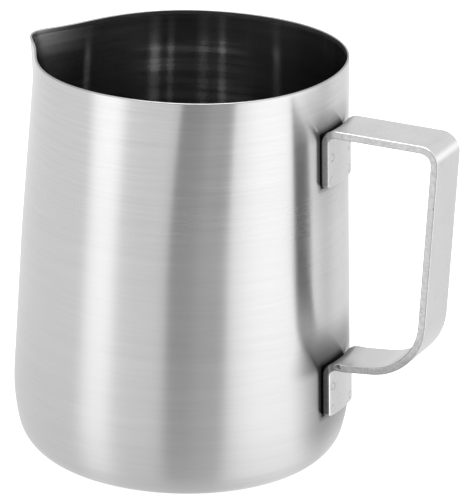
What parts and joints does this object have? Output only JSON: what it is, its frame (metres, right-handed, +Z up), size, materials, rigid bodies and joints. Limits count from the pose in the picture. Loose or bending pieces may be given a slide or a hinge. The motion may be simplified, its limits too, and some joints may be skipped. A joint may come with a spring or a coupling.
{
  "type": "milk frothing pitcher",
  "caption": "Stainless steel steaming and pouring jug with a tapered drawn body, a pressed pouring spout and a bent strap handle spot-welded to the wall.",
  "frame": {"origin": "centre of the base on the surface the pitcher rests on", "axes": "+Z up along the body's axis, handle towards +X, spout towards -X"},
  "size_m": [0.145, 0.1084, 0.1333],
  "materials": {
    "brushed_body": "fine circumferential brushing outside, satin inside",
    "satin_strap": "smooth satin with bright broken edges",
    "weld_steel": "as welded"
  },
  "bodies": {
    "root": {"pitcher_body": "brushed_body", "handle_strap": "satin_strap", "weld_upper_1": "weld_steel", "weld_upper_2": "weld_steel", "weld_upper_3": "weld_steel", "weld_upper_4": "weld_steel", "weld_lower_1": "weld_steel", "weld_lower_2": "weld_steel", "weld_lower_3": "weld_steel", "weld_lower_4": "weld_steel"}
  },
  "joints": []
}
